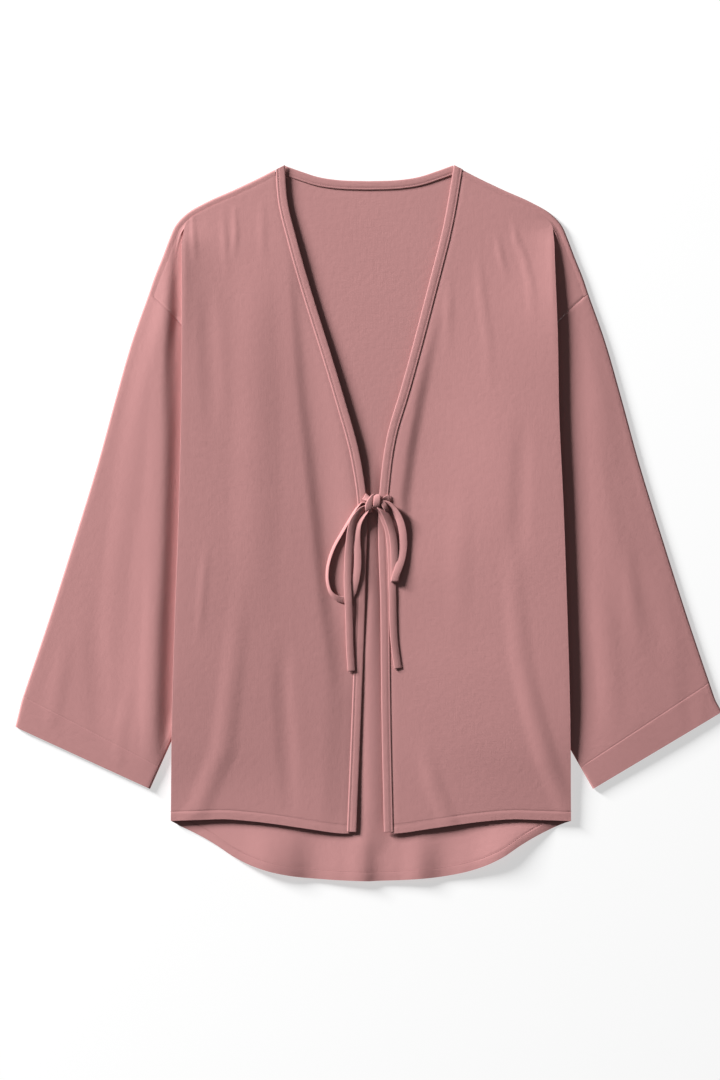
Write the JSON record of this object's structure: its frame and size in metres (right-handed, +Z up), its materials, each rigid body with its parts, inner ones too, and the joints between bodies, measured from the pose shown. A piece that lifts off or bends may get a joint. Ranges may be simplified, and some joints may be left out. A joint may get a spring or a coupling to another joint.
{
  "type": "kimono jacket",
  "caption": "Loose tie-front kimono jacket laid flat: V front, wide dropped sleeves, curved longer back hem, narrow edge band and a bow.",
  "frame": {"origin": "on the surface that the jacket lies on, at the centre of its outline", "axes": "+Z up, away from the surface; +Y from the hem to the neck; +X towards the wearer's left sleeve"},
  "size_m": [0.7778, 0.788, 0.0183],
  "materials": {
    "body_cloth": "matt plain weave, dusty rose",
    "back_cloth": "matt plain weave, inner face, dusty rose",
    "sleeve_cloth": "matt plain weave, dusty rose",
    "band_cloth": "matt plain weave, topstitched band",
    "tie_cloth": "matt plain weave, turned strap"
  },
  "bodies": {
    "root": {"back_panel": "back_cloth", "band_neck": "band_cloth", "front_right": "body_cloth", "front_left": "body_cloth", "band_right": "band_cloth", "band_left": "band_cloth", "sleeve_right": "sleeve_cloth", "sleeve_left": "sleeve_cloth", "tie_right_loop": "tie_cloth", "tie_right_tail": "tie_cloth", "tie_left_loop": "tie_cloth", "tie_left_tail": "tie_cloth", "tie_knot": "tie_cloth"}
  },
  "joints": []
}
